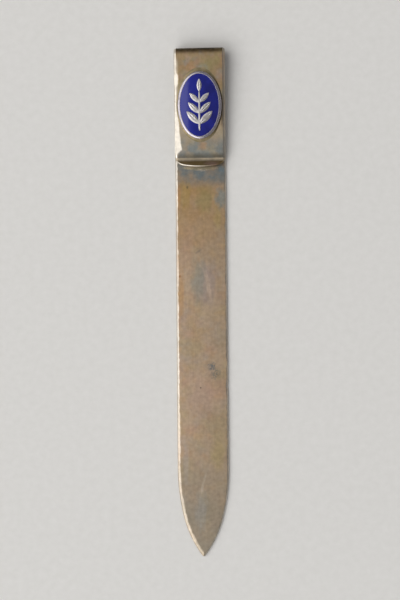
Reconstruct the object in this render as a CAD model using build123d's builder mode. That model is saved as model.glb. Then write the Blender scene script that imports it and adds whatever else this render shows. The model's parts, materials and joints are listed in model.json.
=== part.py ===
"""Letter opener: a pointed metal strip, folded back at one end into a spring clip with an enamelled badge.

The opener lies on its back on the XY plane. +Y runs from the point towards the fold, +Z is up through the
strip, and the origin is the middle of the footprint. Sizes are in millimetres and angles in degrees.
"""

import os
from math import asin, atan2, cos, degrees, hypot, radians, sin, sqrt, tan

from build123d import *

# Strip
overall_length = 150.0
strip_thickness = 0.9
shoulder_width = 15.1
fold_width = 14.85
bevel_width = 0.55
edge_land = 0.3

# Point of the blade
shoulder_radius = 59.0
shoulder_turn = 13.7
point_radius = 33.0
nose_radius = 0.55

# Fold and spring tongue
fold_height = 4.6
clip_travel = 4.0
running_clearance = 0.06
clip_reach = 32.6
lip_gap = 0.12
dip_angle = 21.0
dip_length = 1.4
dip_bend_radius = 5.5
valley_radius = 1.45
lip_angle = 32.0
lip_overhang = 2.36
lip_crown = 1.0
lip_corner_radius = 2.3

# Filed flat on the left margin of the tongue
flat_width = 2.05
flat_length = 22.5
flat_angle = 11.0

# Badge
badge_shift = 0.8
badge_margin = 0.925
badge_height = 19.7
rim_width = 0.8
rim_height = 0.6
rim_rounding = 0.2
plate_floor = 0.25
enamel_drop = 0.06
enamel_dome = 0.3
solder_side = 0.3
solder_end = 0.95
solder_rise = 0.35
solder_edge = 0.08

# Sprig on the badge
sprig_end_margin = 1.45
sprig_side_margin = 1.9
sprig_proud = 0.05
stem_width = 0.6
first_leaf = 2.0
top_leaf_length = 3.9
leaf_pairs = 3
leaf_shrink = 0.87
leaf_gap = 0.3
leaf_angle = 45.0

os.makedirs("parts", exist_ok=True)


# Places along the strip, worked out from the sizes above
bevel_depth = (strip_thickness - edge_land) / 2
tip_y = -overall_length / 2
fold_end_y = overall_length / 2
fold_outer = fold_height / 2
fold_middle = fold_outer - strip_thickness / 2
fold_y = fold_end_y - fold_outer
blade_end_y = fold_y - fold_outer * sin(radians(clip_travel)) - running_clearance

# Each border of the point is a wide arc at the shoulder and a tighter one below it. The two borders meet at
# a sharp tip, which the round nose takes back to the overall length.
half_shoulder = shoulder_width / 2
centre_step = shoulder_radius - point_radius
centre_drop = centre_step * sin(radians(shoulder_turn))
centre_offset = shoulder_radius - half_shoulder - centre_step * cos(radians(shoulder_turn))
sharp_length = centre_drop + sqrt(point_radius**2 - centre_offset**2)
nose_length = centre_drop + sqrt((point_radius - nose_radius) ** 2 - centre_offset**2) + nose_radius
shoulder_y = tip_y + nose_length

# The tongue falls from the fold in a straight line, dips, and turns up at the lip above the blade.
valley_y = fold_end_y - clip_reach
valley_z = strip_thickness + lip_gap + strip_thickness / 2
dip_way = (-cos(radians(dip_angle)), -sin(radians(dip_angle)))
lip_way = (-cos(radians(lip_angle)), sin(radians(lip_angle)))
valley_start = (valley_y - valley_radius * dip_way[1], valley_z + valley_radius * (1 + dip_way[0]))
valley_end = (valley_y - valley_radius * lip_way[1], valley_z + valley_radius * (1 + lip_way[0]))
dip_corner = (valley_start[0] - dip_length * dip_way[0], valley_start[1] - dip_length * dip_way[1])
corner_run = fold_y - dip_corner[0]
corner_rise = fold_outer - dip_corner[1]
tongue_slope = degrees(atan2(corner_rise, corner_run) + asin(fold_middle / hypot(corner_run, corner_rise)))
tongue_start = (
    fold_y - fold_middle * sin(radians(tongue_slope)),
    fold_outer + fold_middle * cos(radians(tongue_slope)),
)
tongue_end_y = dip_corner[0] + dip_bend_radius * tan(radians(dip_angle - tongue_slope) / 2)
lip_end_y = valley_y - lip_overhang
lip_end_radius = ((fold_width / 2) ** 2 + lip_crown**2) / (2 * lip_crown)
untrimmed_lip = (valley_end[0] - lip_end_y + strip_thickness) / -lip_way[0]


def tongue_point(x: float, y: float) -> Vector:
    """Point on the front face of the straight tongue, or on that face carried on past its ends."""
    middle_z = tongue_start[1] - (tongue_start[0] - y) * tan(radians(tongue_slope))
    return Vector(x, y, middle_z + strip_thickness / 2 / cos(radians(tongue_slope)))


tongue_normal = Vector(0, -sin(radians(tongue_slope)), cos(radians(tongue_slope)))

# The filed flat starts at the strip's edge and widens evenly towards the dip.
flat_start = tongue_point(-fold_width / 2, tongue_end_y + flat_length)
flat_end = tongue_point(flat_width - fold_width / 2, tongue_end_y)
flat_line = (flat_end - flat_start).normalized()
flat_plane = Plane(
    origin=flat_end,
    x_dir=flat_line,
    z_dir=tongue_normal.rotate(Axis((0, 0, 0), flat_line), flat_angle),
)
flat_past_dip = tongue_end_y - valley_start[0]

# The badge sits on the front face of the tongue, a little below the middle of its straight run.
badge_y = (tongue_start[0] + tongue_end_y) / 2 - badge_shift
badge_plane = Plane(origin=tongue_point(0, badge_y), x_dir=(1, 0, 0), z_dir=tongue_normal)
badge_width = fold_width - 2 * badge_margin
enamel_half_width = badge_width / 2 - rim_width
enamel_half_height = badge_height / 2 - rim_width
enamel_edge = rim_height - enamel_drop
dome_radius = (enamel_half_width**2 + enamel_dome**2) / (2 * enamel_dome)
dome_stretch = enamel_half_height / enamel_half_width
dome_top = enamel_edge + enamel_dome


def dome_axis(lift: float) -> Axis:
    """Long axis of the enamel's dome, which lies deep below the badge."""
    return Axis(badge_plane.from_local_coords((0, 0, dome_top + lift - dome_radius)), badge_plane.y_dir)


def dome_segment(lift: float) -> Sketch:
    """Segment of an oval that turns about the dome's long axis, lifted above the enamel's own surface."""
    axis = dome_axis(lift)
    quarter_turn = 90.0
    with BuildSketch(Plane(origin=axis.position, x_dir=axis.direction, z_dir=badge_plane.x_dir)) as segment:
        with BuildLine():
            reach = dome_radius * dome_stretch
            arc = EllipticalCenterArc(
                (0, 0), reach, dome_radius, start_angle=quarter_turn / 2, arc_size=quarter_turn
            )
            Line(arc @ 1, arc @ 0)
        make_face()
    return segment.sketch


# Blade: a flat strip with a rounded spear point, eased along the edges of both faces
with BuildPart() as blade:
    with BuildSketch() as blade_outline:
        with BuildLine():
            tip = (0, shoulder_y - sharp_length)
            left_end = (-fold_width / 2, blade_end_y)
            right_end = (fold_width / 2, blade_end_y)
            left_arc = JernArc((-half_shoulder, shoulder_y), (0, -1), shoulder_radius, shoulder_turn)
            right_arc = JernArc((half_shoulder, shoulder_y), (0, -1), shoulder_radius, -shoulder_turn)
            Polyline(left_arc @ 0, left_end, right_end, right_arc @ 0)
            TangentArc(left_arc @ 1, tip, tangent=left_arc % 1)
            TangentArc(right_arc @ 1, tip, tangent=right_arc % 1)
        make_face()
    extrude(amount=strip_thickness)
    for side in (-1, 0):
        face = blade.faces().filter_by(Axis.Z).sort_by(Axis.Z)[side]
        edges_round_point = face.edges().sort_by(Axis.Y)[:-1]
        chamfer(edges_round_point, length=bevel_width, length2=bevel_depth, reference=face)
    with BuildSketch() as nose_outline:
        add(blade_outline.sketch)
        fillet(nose_outline.vertices().sort_by(Axis.Y)[0], radius=nose_radius)
    extrude(amount=strip_thickness, mode=Mode.INTERSECT)

blade.part.label = "blade"
export_step(blade.part, "parts/blade.step")


# Seen from above, the lip ends in a flat arc with rounded corners.
with BuildSketch() as lip_outline:
    with Locations((0, lip_end_y)):
        Rectangle(fold_width, tongue_end_y - lip_end_y, align=(Align.CENTER, Align.MIN))
    with Locations((0, lip_end_y + lip_end_radius)):
        Circle(lip_end_radius, mode=Mode.INTERSECT)
    fillet(lip_outline.vertices().group_by(Axis.Y)[0], radius=lip_corner_radius)

# Spring clip: the fold, the sloping tongue and the turned-up lip, trimmed upright to that outline
with BuildPart() as spring_clip:
    with BuildSketch(Plane.YZ):
        with BuildLine() as clip_line:
            CenterArc((fold_y, fold_outer), fold_middle, -90, 180 + tongue_slope)
            FilletPolyline(tongue_start, dip_corner, valley_start, radius=dip_bend_radius)
            JernArc(valley_start, dip_way, valley_radius, -(dip_angle + lip_angle))
            PolarLine(valley_end, untrimmed_lip, direction=lip_way)
        trace(clip_line.edges(), line_width=strip_thickness)
    extrude(amount=fold_width / 2, both=True)
    for side in (-1, 0):
        face = spring_clip.faces().filter_by(Axis.X).sort_by(Axis.X)[side]
        fold_edges = spring_clip.faces().filter_by(Axis.Y).edges()
        lip_edges = spring_clip.faces().filter_by(Axis((0, 0, 0), (0, *lip_way))).edges()
        long_edges = [edge for edge in face.edges() if edge not in fold_edges + lip_edges]
        chamfer(long_edges, length=bevel_depth, length2=bevel_width, reference=face)
    with BuildSketch():
        with Locations((0, tongue_end_y)):
            Rectangle(
                fold_width + strip_thickness,
                tongue_end_y - lip_end_y + 2 * strip_thickness,
                align=(Align.CENTER, Align.MAX),
            )
        add(lip_outline.sketch, mode=Mode.SUBTRACT)
    extrude(amount=fold_height, mode=Mode.SUBTRACT)
    with BuildSketch(flat_plane):
        with Locations((flat_past_dip, 0)):
            Rectangle(
                flat_length + flat_past_dip,
                flat_width + strip_thickness,
                align=(Align.MAX, Align.MAX),
            )
    extrude(amount=strip_thickness, mode=Mode.SUBTRACT)

spring_clip.part.label = "spring_clip"
export_step(spring_clip.part, "parts/spring_clip.step")


# Badge plate: an oval with a raised, rounded rim round a sunk floor
with BuildPart() as badge_plate:
    with BuildSketch(badge_plane):
        Ellipse(badge_width / 2, badge_height / 2)
    extrude(amount=rim_height)
    rim_edge = badge_plate.edges().sort_by(Axis(badge_plane.origin, badge_plane.z_dir))[-1]
    fillet(rim_edge, radius=rim_rounding)
    with BuildSketch(badge_plane.offset(plate_floor)):
        Ellipse(enamel_half_width, enamel_half_height)
    extrude(amount=rim_height, mode=Mode.SUBTRACT)

badge_plate.part.label = "badge_plate"
export_step(badge_plate.part, "parts/badge_plate.step")


# Sprig: a stem with pairs of pointed leaves that shorten upwards, and one leaf at the top
sprig_top = enamel_half_height - sprig_end_margin
stem_foot = -sprig_top
top_leaf_foot = sprig_top - top_leaf_length
leaf_pitch = (top_leaf_foot - stem_foot - first_leaf) / leaf_pairs
leaf_length = (enamel_half_width - sprig_side_margin) / sin(radians(leaf_angle))
leaf_plumpness = (leaf_pitch * sin(radians(leaf_angle)) - leaf_gap) / leaf_length

leaves = [(0, top_leaf_foot, top_leaf_length)]
for pair in range(leaf_pairs):
    pair_foot = stem_foot + first_leaf + pair * leaf_pitch
    pair_length = leaf_length * leaf_shrink**pair
    leaves.append((-leaf_angle, pair_foot, pair_length))
    leaves.append((leaf_angle, pair_foot, pair_length))

with BuildSketch(badge_plane.offset(plate_floor)) as sprig_outline:
    with Locations((0, stem_foot)):
        Rectangle(stem_width, top_leaf_foot + stem_width - stem_foot, align=(Align.CENTER, Align.MIN))
    for lean, foot, length in leaves:
        half_width = length * leaf_plumpness / 2
        with BuildLine(Plane((0, foot, 0)).rotated((0, 0, 90 + lean))):
            ThreePointArc((0, 0), (length / 2, half_width), (length, 0))
            ThreePointArc((length, 0), (length / 2, -half_width), (0, 0))
        make_face()


# Enamel: blue glass that fills the plate up to the rim and swells gently above it, round the sprig
enamel_segment = dome_segment(0)
with BuildPart() as badge_enamel:
    with BuildSketch(badge_plane.offset(plate_floor)):
        Ellipse(enamel_half_width, enamel_half_height)
        add(sprig_outline.sketch_local, mode=Mode.SUBTRACT)
    extrude(amount=dome_top)
    revolve(enamel_segment, axis=dome_axis(0), mode=Mode.INTERSECT)

badge_enamel.part.label = "badge_enamel"
export_step(badge_enamel.part, "parts/badge_enamel.step")


# Emblem: the metal sprig, standing on the plate's floor and a little proud of the enamel
emblem_segment = dome_segment(sprig_proud)
with BuildPart() as badge_emblem:
    extrude(sprig_outline.sketch, amount=dome_top + sprig_proud)
    revolve(emblem_segment, axis=dome_axis(sprig_proud), mode=Mode.INTERSECT)

badge_emblem.part.label = "badge_emblem"
export_step(badge_emblem.part, "parts/badge_emblem.step")


# Solder seam: the sloping fillet of solder that ran out round the badge
with BuildPart() as solder_seam:
    with BuildSketch(badge_plane):
        Ellipse(badge_width / 2 + solder_side, badge_height / 2 + solder_end)
    with BuildSketch(badge_plane.offset(solder_rise)):
        Ellipse(badge_width / 2 + solder_edge, badge_height / 2 + solder_edge)
    loft()
    with BuildSketch(badge_plane):
        Ellipse(badge_width / 2, badge_height / 2)
    extrude(amount=rim_height, mode=Mode.SUBTRACT)

solder_seam.part.label = "solder_seam"
export_step(solder_seam.part, "parts/solder_seam.step")
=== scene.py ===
"""Looks of a letter opener: a satin gilt strip, folded into a spring clip that carries an enamelled badge.

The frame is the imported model's: the opener lies on its back on z = 0 with its point towards -Y. Sizes here
are in millimetres and angles in degrees. They become metres and radians where a mesh, a pattern or a lamp
is made.
"""

import json
import logging
import math
from collections.abc import Callable, Sequence
from dataclasses import dataclass
from enum import Enum

import bmesh
import bpy
from mathutils import Matrix, Vector, noise


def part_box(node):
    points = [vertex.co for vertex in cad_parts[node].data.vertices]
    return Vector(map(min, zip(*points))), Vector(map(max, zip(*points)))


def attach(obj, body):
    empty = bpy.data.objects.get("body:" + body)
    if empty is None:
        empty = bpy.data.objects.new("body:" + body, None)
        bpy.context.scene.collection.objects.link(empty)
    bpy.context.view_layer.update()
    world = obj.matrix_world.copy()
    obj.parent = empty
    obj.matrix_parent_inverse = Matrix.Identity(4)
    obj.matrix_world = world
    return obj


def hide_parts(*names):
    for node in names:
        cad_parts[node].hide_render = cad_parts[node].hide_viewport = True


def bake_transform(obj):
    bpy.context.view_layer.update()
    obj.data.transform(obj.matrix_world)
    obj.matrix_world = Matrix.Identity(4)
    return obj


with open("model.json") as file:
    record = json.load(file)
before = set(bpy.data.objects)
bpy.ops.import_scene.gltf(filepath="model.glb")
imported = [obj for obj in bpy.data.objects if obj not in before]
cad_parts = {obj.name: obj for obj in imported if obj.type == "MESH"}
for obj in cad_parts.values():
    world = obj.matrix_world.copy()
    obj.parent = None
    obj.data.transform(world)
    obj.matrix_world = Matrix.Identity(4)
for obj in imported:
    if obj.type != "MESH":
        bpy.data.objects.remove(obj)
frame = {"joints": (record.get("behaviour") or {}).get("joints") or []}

LOG = logging.getLogger("letter_opener")
MM = 0.001
MERGE_DISTANCE = 0.0005
CREASE_ANGLE = 40.0
LINE_GAP = 7.3
OFF_GRID = 0.5

# Sockets of a Mix node by number, because their names repeat
MIX_FACTOR, MIX_NUMBER_A, MIX_NUMBER_B, MIX_A, MIX_B, MIX_COLOUR = 0, 2, 3, 6, 7, 2

Socket = bpy.types.NodeSocket
Inputs = dict[str | int, object]
Layers = Sequence[tuple[str, Socket]]
Span = tuple[float, float]
Spot = tuple[float, float, float, float]
Oval = Callable[[float], Vector]

WHOLE: Span = (0.0, 1.0)
# Levels between which nearly all of a noise pattern lies
NOISE_SPAN: Span = (0.3, 0.7)


class Body(Enum):
    """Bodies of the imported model."""

    BLADE = "blade"
    CLIP = "clip"


class Slot(Enum):
    """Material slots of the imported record."""

    STRIP = "gilt_strip"
    SILVER = "badge_silver"
    ENAMEL = "blue_enamel"
    SOLDER = "solder"


class Side(Enum):
    """Long borders of the strip, seen from the front with the point downwards."""

    LEFT = -1
    RIGHT = 1


class Axis(Enum):
    """Axes of the frame: across the strip, along it and up from its back."""

    ACROSS = "X"
    ALONG = "Y"
    UP = "Z"


class Border(Enum):
    """How broken the borders of a pattern are, as the detail of its noise."""

    SOFT = 1.0
    EVEN = 2.0
    UNEVEN = 3.0
    RAGGED = 4.0
    TATTERED = 5.0
    FIBROUS = 6.0


class Line(Enum):
    """Lines of unevenness along the strip, each unlike the others."""

    BLADE_EDGE = 1
    BLADE_BEVEL = 2
    CLIP_EDGE = 3
    CLIP_BEVEL = 4
    FILE_MARKS = 5
    FILED_MARGIN = 11
    FILED_TEETH = 12


def hold(value: float) -> float:
    """Value kept between 0 and 1."""
    return min(1.0, max(0.0, value))


def waver(position: float, size: float, line: Line, sign: int = 1) -> float:
    """Smooth unevenness along a line.

    Args:
        position: Place along the line.
        size: Length of one swell.
        line: Which of the unlike lines it is.
        sign: 1 or -1, for two unlike lines of one kind.

    Returns:
        A value from about -1 to 1.
    """
    return noise.noise(Vector((position / size, LINE_GAP * line.value * sign + OFF_GRID, OFF_GRID)))


def to_linear(code: str) -> tuple[float, float, float, float]:
    """Linear colour of an sRGB hex value.

    Args:
        code: Colour such as "#C0A888".

    Returns:
        Red, green, blue and a whole alpha.
    """
    channels = [int(code[i : i + 2], 16) / 255 for i in (1, 3, 5)]
    linear = [c / 12.92 if c <= 0.04045 else ((c + 0.055) / 1.055) ** 2.4 for c in channels]
    return (*linear, 1.0)


def fill_inputs(tree: bpy.types.NodeTree, node: bpy.types.Node, inputs: Inputs) -> None:
    """Sets inputs of a node.

    Args:
        tree: Node tree that holds the node.
        node: Node that gets the values.
        inputs: Input name or number, with the constant that it holds or the socket that feeds it.
    """
    for key, value in inputs.items():
        if isinstance(value, Socket):
            tree.links.new(value, node.inputs[key])
        else:
            node.inputs[key].default_value = value


def add_node(
    tree: bpy.types.NodeTree, kind: str, inputs: Inputs | None = None, **settings: object
) -> bpy.types.Node:
    """Adds a node with its settings and links.

    Args:
        tree: Node tree that gets the node.
        kind: Type name of the node.
        inputs: Input name or number, with the constant that it holds or the socket that feeds it.
        settings: Properties of the node.

    Returns:
        The new node.
    """
    node = tree.nodes.new(kind)
    for name, value in settings.items():
        setattr(node, name, value)
    fill_inputs(tree, node, inputs or {})
    return node


def between(value: Socket, levels: Span, values: Span = WHOLE) -> Inputs:
    """Inputs that turn a value between two levels into one between two other values."""
    ends = {"From Min": levels[0], "From Max": levels[1], "To Min": values[0], "To Max": values[1]}
    return {"Value": value, **ends}


def lay_colours(tree: bpy.types.NodeTree, base: str, layers: Layers) -> Socket:
    """Lays colours over a base one after the other.

    Args:
        tree: Node tree of the material or the world.
        base: Colour under the layers.
        layers: Colour of each layer and the socket of its cover.

    Returns:
        The socket of the colour that shows.
    """
    colour = to_linear(base)
    for code, cover in layers:
        inputs = {MIX_FACTOR: cover, MIX_A: colour, MIX_B: to_linear(code)}
        colour = add_node(tree, "ShaderNodeMix", inputs, data_type="RGBA").outputs[MIX_COLOUR]
    return colour


def finish_mesh(name: str, shape: bmesh.types.BMesh, material: bpy.types.Material | None) -> bpy.types.Object:
    """Makes a piece at the origin from a closed mesh in millimetres.

    Args:
        name: Name of the piece.
        shape: Mesh in millimetres, which is used up.
        material: Material of the whole piece, or none where a later step sets it.

    Returns:
        The new object, in metres, smooth between its creases.
    """
    bmesh.ops.remove_doubles(shape, verts=shape.verts, dist=MERGE_DISTANCE)
    bmesh.ops.recalc_face_normals(shape, faces=shape.faces)
    bmesh.ops.scale(shape, vec=(MM, MM, MM), verts=shape.verts)
    data = bpy.data.meshes.new(name)
    shape.to_mesh(data)
    shape.free()
    data.shade_smooth()
    data.set_sharp_from_angle(angle=math.radians(CREASE_ANGLE))
    data.materials.append(material)
    piece = bpy.data.objects.new(name, data)
    bpy.context.scene.collection.objects.link(piece)
    return piece


def join_rings(shape: bmesh.types.BMesh, rings: Sequence[Sequence[bmesh.types.BMVert]]) -> None:
    """Fills the bands between closed rings.

    Args:
        shape: Mesh that holds the rings.
        rings: Rings in order, with as many points each.
    """
    for lower, upper in zip(rings, rings[1:]):
        count = len(lower)
        for i in range(count):
            after = (i + 1) % count
            shape.faces.new((lower[i], lower[after], upper[after], upper[i]))


class Coat:
    """Node material in the making, with the covers that the finishes share."""

    def __init__(self, name: str) -> None:
        """Starts a material of one shader.

        Args:
            name: Name of the material.
        """
        self.material = bpy.data.materials.new(name)
        self.material.use_nodes = True
        self.tree = self.material.node_tree
        self.tree.nodes.clear()
        self.shader = add_node(self.tree, "ShaderNodeBsdfPrincipled")
        add_node(self.tree, "ShaderNodeOutputMaterial", {"Surface": self.shader.outputs["BSDF"]})
        self.place = add_node(self.tree, "ShaderNodeTexCoord").outputs["Object"]

    def give(self, inputs: Inputs) -> None:
        """Sets inputs of the shader to constants or sockets."""
        fill_inputs(self.tree, self.shader, inputs)

    def cover(self, value: Socket, levels: Span, most: float = 1.0) -> Socket:
        """Cover that rises smoothly from none to the most while a value goes from one level to another."""
        inputs = between(value, levels, (0.0, most))
        return add_node(self.tree, "ShaderNodeMapRange", inputs, interpolation_type="SMOOTHSTEP").outputs[0]

    def cover_along(self, axis: Axis, places: Span, most: float = 1.0) -> Socket:
        """Cover that rises smoothly from none to the most between two places along an axis."""
        split = add_node(self.tree, "ShaderNodeSeparateXYZ", {"Vector": self.place})
        return self.cover(split.outputs[axis.value], (places[0] * MM, places[1] * MM), most)

    def blotches(self, size: float, border: Border, levels: Span = WHOLE, values: Span = WHOLE) -> Socket:
        """Values that vary in blotches.

        Args:
            size: Size of a blotch.
            border: How broken the blotches' borders are.
            levels: Noise levels of the first and the last value.
            values: First and last value.

        Returns:
            The socket of the values.
        """
        inputs = {"Vector": self.place, "Scale": 1 / (size * MM), "Detail": border.value}
        level = add_node(self.tree, "ShaderNodeTexNoise", inputs).outputs["Fac"]
        return add_node(self.tree, "ShaderNodeMapRange", between(level, levels, values)).outputs[0]

    def streaks(self, width: float, length: float, border: Border, turn: float = 0.0) -> Socket:
        """Noise that is drawn out into streaks.

        Args:
            width: Width of a streak.
            length: Length of a streak.
            border: How broken the streaks' borders are.
            turn: Turn of the streaks from the strip's length.

        Returns:
            The socket of the noise.
        """
        scale = [1 / (size * MM) for size in (width, length, width)]
        inputs = {"Vector": self.place, "Rotation": (0, 0, math.radians(turn)), "Scale": scale}
        drawn = add_node(self.tree, "ShaderNodeMapping", inputs).outputs[0]
        inputs = {"Vector": drawn, "Scale": 1.0, "Detail": border.value}
        return add_node(self.tree, "ShaderNodeTexNoise", inputs).outputs["Fac"]

    def product(self, first: Socket, *others: Socket) -> Socket:
        """Covers multiplied together.

        Args:
            first: First cover.
            others: Covers that weaken it.

        Returns:
            The socket of the product.
        """
        whole = first
        for other in others:
            inputs = {0: whole, 1: other}
            whole = add_node(self.tree, "ShaderNodeMath", inputs, operation="MULTIPLY").outputs[0]
        return whole

    def emboss(self, height: Socket, depth: float, strength: float) -> None:
        """Gives the surface a fine relief.

        Args:
            height: Socket of the relief's height, as a share of its depth.
            depth: Depth of the relief.
            strength: How far the relief shows, from 0 to 1.
        """
        inputs = {"Height": height, "Distance": depth * MM, "Strength": strength}
        self.give({"Normal": add_node(self.tree, "ShaderNodeBump", inputs).outputs["Normal"]})


@dataclass(frozen=True)
class Finish:
    """Surface finish that makes its own node material."""

    name: str

    def build(self) -> bpy.types.Material:
        """Makes the material."""
        raise NotImplementedError


@dataclass(frozen=True)
class Band:
    """Stain, or band of painted shade or highlight, that grows along the strip, from no cover at one place to
    full cover at another.

    Args:
        colour: Colour of the stain.
        start: Place along Y where it begins to show.
        full: Place along Y where it covers most.
        strength: Cover at its fullest, from 0 to 1.
        patch: Size of the patches that it breaks into.
        breakup: How far the patches break it, from 0 to 1.
        left_share: Cover at the left border, as a share of that at the right border.
    """

    colour: str
    start: float
    full: float
    strength: float
    patch: float = 4.0
    breakup: float = 0.5
    left_share: float = 1.0


@dataclass(frozen=True)
class Mark:
    """Small oval mark on the front of the strip.

    Args:
        colour: Colour of the mark.
        x: Place across the strip.
        y: Place along the strip.
        half_x: Half of its width.
        half_y: Half of its length.
        strength: Cover at its middle, from 0 to 1.
        turn: Turn of its length from the strip's.
        ragged: How uneven its border is, as a share of its size.
        dent: Depth of its middle, as a share of the relief's whole depth.
        speckled: How far fine specks break its cover, from 0 to 1.
    """

    colour: str
    x: float
    y: float
    half_x: float
    half_y: float
    strength: float
    turn: float = 0.0
    ragged: float = 0.4
    dent: float = 0.0
    speckled: float = 0.0


@dataclass(frozen=True)
class Mottle:
    """Patches of another tone all over the strip.

    Args:
        colour: Colour of the patches.
        patch: Size of a patch.
        strength: Cover at the middle of a patch, from 0 to 1.
        seed: Number that picks one of many unlike layouts.
    """

    colour: str
    patch: float
    strength: float
    seed: float


@dataclass(frozen=True)
class GiltFinish(Finish):
    """Worn gilding on a rolled strip: warm satin metal, mottled by tarnish, rubbed bright along its edges."""

    base: str
    rubbed: str
    front_z: float
    mottles: tuple[Mottle, ...]
    bands: tuple[Band, ...]
    marks: tuple[Mark, ...]
    half_width: float = 7.5
    front_shares: Span = (0.2, 0.8)
    mottle_levels: Span = (0.47, 0.66)
    band_levels: Span = (0.35, 0.6)
    mark_height: float = 0.5
    mark_lumps: float = 2.2
    mark_middle: float = 0.3
    speck: float = 0.45
    speck_levels: Span = (0.42, 0.58)
    # The grain of rolling, coarser than real grain so that it shows in the render
    grain_width: float = 0.5
    grain_length: float = 9.0
    grain_share: float = 0.35
    grain_relief: float = 0.15
    rub_levels: Span = (0.1, 0.45)
    speckle: float = 1.1
    tone_reach: float = 0.3
    tones: Span = (0.84, 1.16)
    dull_patch: float = 7.0
    roughness: Span = (0.38, 0.5)
    rubbed_roughness: float = 0.36
    relief_depth: float = 0.012
    relief_strength: float = 0.6

    def build(self) -> bpy.types.Material:
        """Makes the material.

        Returns:
            The new material, which reads the attribute of wear.
        """
        coat = Coat(self.name)
        grain = coat.streaks(self.grain_width, self.grain_length, Border.UNEVEN)
        wear = add_node(coat.tree, "ShaderNodeAttribute", attribute_name="wear").outputs["Fac"]
        marks = [(mark, self.mark_cover(coat, mark)) for mark in self.marks]
        layers = [(mottle.colour, self.mottle_cover(coat, mottle)) for mottle in self.mottles]
        layers += [(band.colour, self.band_cover(coat, band)) for band in self.bands]
        layers += [(mark.colour, cover) for mark, cover in marks]
        layers.append((self.rubbed, coat.product(wear, coat.cover(grain, self.rub_levels))))
        coat.give({"Base Color": self.tone(coat, layers, grain)})
        coat.give({"Metallic": 1.0, "Roughness": self.sheen(coat, wear)})
        dents = [(mark.dent, cover) for mark, cover in marks if mark.dent]
        coat.emboss(self.relief(coat, grain, dents), self.relief_depth, self.relief_strength)
        return coat.material

    def mottle_cover(self, coat: Coat, mottle: Mottle) -> Socket:
        """Cover of patches all over the strip.

        Args:
            coat: Material in the making.
            mottle: Patches that are asked for.

        Returns:
            The socket of the cover.
        """
        scale = 1 / (mottle.patch * MM)
        inputs = {"Vector": coat.place, "W": mottle.seed, "Scale": scale, "Detail": Border.RAGGED.value}
        level = add_node(coat.tree, "ShaderNodeTexNoise", inputs, noise_dimensions="4D").outputs["Fac"]
        return coat.cover(level, self.mottle_levels, mottle.strength)

    def band_cover(self, coat: Coat, band: Band) -> Socket:
        """Cover of a band, broken into patches, with its own share on the left and none on the back.

        Args:
            coat: Material in the making.
            band: Band that is asked for.

        Returns:
            The socket of the cover.
        """
        rise = coat.cover_along(Axis.ALONG, (band.start, band.full), band.strength)
        broken = coat.blotches(band.patch, Border.RAGGED, self.band_levels, (1 - band.breakup, 1.0))
        split = add_node(coat.tree, "ShaderNodeSeparateXYZ", {"Vector": coat.place})
        reach = self.half_width * MM
        inputs = between(split.outputs["X"], (-reach, reach), (band.left_share, 1.0))
        side = add_node(coat.tree, "ShaderNodeMapRange", inputs).outputs[0]
        back, front = (share * self.front_z for share in self.front_shares)
        return coat.product(rise, broken, side, coat.cover_along(Axis.UP, (back, front)))

    def mark_cover(self, coat: Coat, mark: Mark) -> Socket:
        """Cover of a mark: a soft oval with an uneven border, on the front alone.

        Args:
            coat: Material in the making.
            mark: Mark that is asked for.

        Returns:
            The socket of the cover.
        """
        inputs = {
            "Vector": coat.place,
            "Location": (mark.x * MM, mark.y * MM, self.front_z * MM),
            "Rotation": (0, 0, math.radians(mark.turn)),
            "Scale": (mark.half_x * MM, mark.half_y * MM, self.mark_height * self.front_z * MM),
        }
        oval = add_node(coat.tree, "ShaderNodeMapping", inputs, vector_type="TEXTURE").outputs[0]
        reach = add_node(coat.tree, "ShaderNodeVectorMath", {0: oval}, operation="LENGTH").outputs["Value"]
        inputs = {"Vector": oval, "Scale": self.mark_lumps, "Detail": Border.UNEVEN.value}
        lumps = add_node(coat.tree, "ShaderNodeTexNoise", inputs).outputs["Fac"]
        inputs = {0: lumps, 1: 2 * mark.ragged, 2: reach}
        uneven = add_node(coat.tree, "ShaderNodeMath", inputs, operation="MULTIPLY_ADD").outputs[0]
        cover = coat.cover(uneven, (1.0 + mark.ragged, self.mark_middle + mark.ragged), mark.strength)
        if not mark.speckled:
            return cover
        gaps = coat.blotches(self.speck, Border.EVEN, self.speck_levels, (1 - mark.speckled, 1.0))
        return coat.product(cover, gaps)

    def tone(self, coat: Coat, layers: Layers, grain: Socket) -> Socket:
        """Colour of the gilding, lighter and darker along its grain and in fine specks.

        Args:
            coat: Material in the making.
            layers: Colours and covers of the stains and of the rubbing.
            grain: Socket of the lengthwise grain.

        Returns:
            The socket of the colour.
        """
        specks = coat.blotches(self.speckle, Border.UNEVEN)
        inputs = {0: grain, 1: self.grain_share, 2: specks}
        shade = add_node(coat.tree, "ShaderNodeMath", inputs, operation="MULTIPLY_ADD").outputs[0]
        middle = (1 + self.grain_share) / 2
        inputs = between(shade, (middle - self.tone_reach, middle + self.tone_reach), self.tones)
        light = add_node(coat.tree, "ShaderNodeMapRange", inputs).outputs[0]
        inputs = {0: lay_colours(coat.tree, self.base, layers), "Scale": light}
        return add_node(coat.tree, "ShaderNodeVectorMath", inputs, operation="SCALE").outputs[0]

    def sheen(self, coat: Coat, wear: Socket) -> Socket:
        """Roughness of the gilding: satin, duller in patches and smoother where it is rubbed.

        Args:
            coat: Material in the making.
            wear: Socket of the wear.

        Returns:
            The socket of the roughness.
        """
        dull = coat.blotches(self.dull_patch, Border.RAGGED, NOISE_SPAN, self.roughness)
        inputs = {MIX_FACTOR: wear, MIX_NUMBER_A: dull, MIX_NUMBER_B: self.rubbed_roughness}
        return add_node(coat.tree, "ShaderNodeMix", inputs, data_type="FLOAT").outputs[0]

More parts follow.
